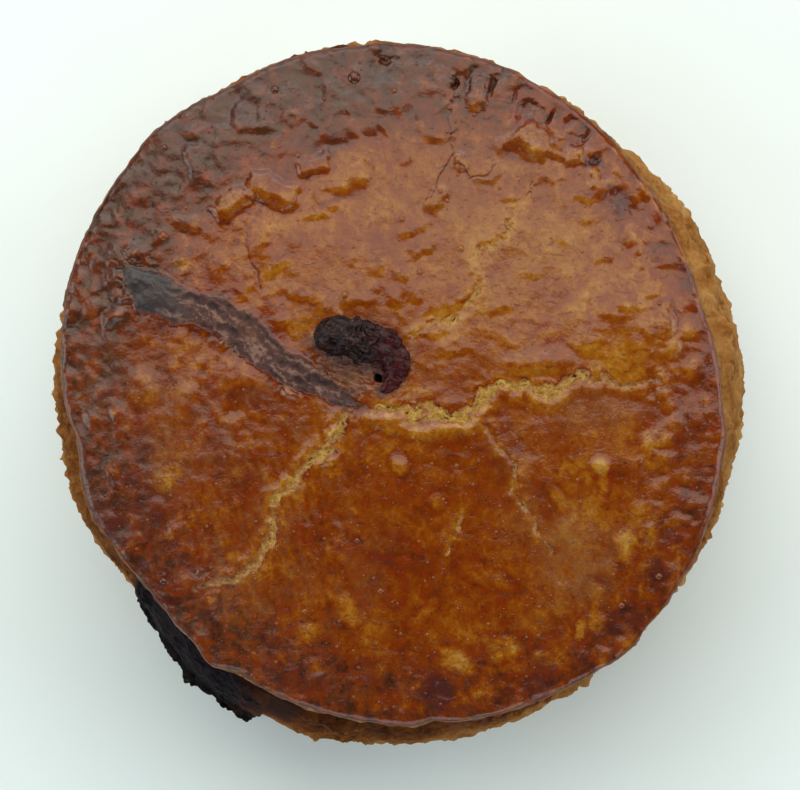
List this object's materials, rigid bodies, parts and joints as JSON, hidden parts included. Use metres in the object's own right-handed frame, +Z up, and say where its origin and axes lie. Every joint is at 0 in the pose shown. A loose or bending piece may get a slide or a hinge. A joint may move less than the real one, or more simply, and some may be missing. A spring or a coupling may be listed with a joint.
{
  "type": "pork pie",
  "caption": "Round baked pork pie with bow-sided hot-water crust, glazed and crimped cracked lid, charred filling at the vent, a dried gravy trail and burnt gravy on the wall",
  "frame": {"origin": "centre of the flat base on the ground, straight under the middle of the lid", "axes": "+Z up through the lid; seen from above with +Y away from the viewer, the gravy trail runs from the vent toward -X and +Y and the burnt gravy is on the wall at -X and -Y"},
  "size_m": [0.107, 0.1095, 0.0525],
  "materials": {
    "baked_crust": "matte, rough browned hot-water-crust pastry",
    "glazed_crust": "glossy egg-washed pastry, orange-brown to dark maroon",
    "charred_filling": "wrinkled, charred, slightly shiny filling",
    "burnt_gravy": "crumbly black burnt gravy"
  },
  "bodies": {
    "root": {"pastry_case": "baked_crust", "pastry_lid": "glazed_crust", "vent_filling": "charred_filling", "burnt_gravy": "burnt_gravy"}
  },
  "joints": []
}
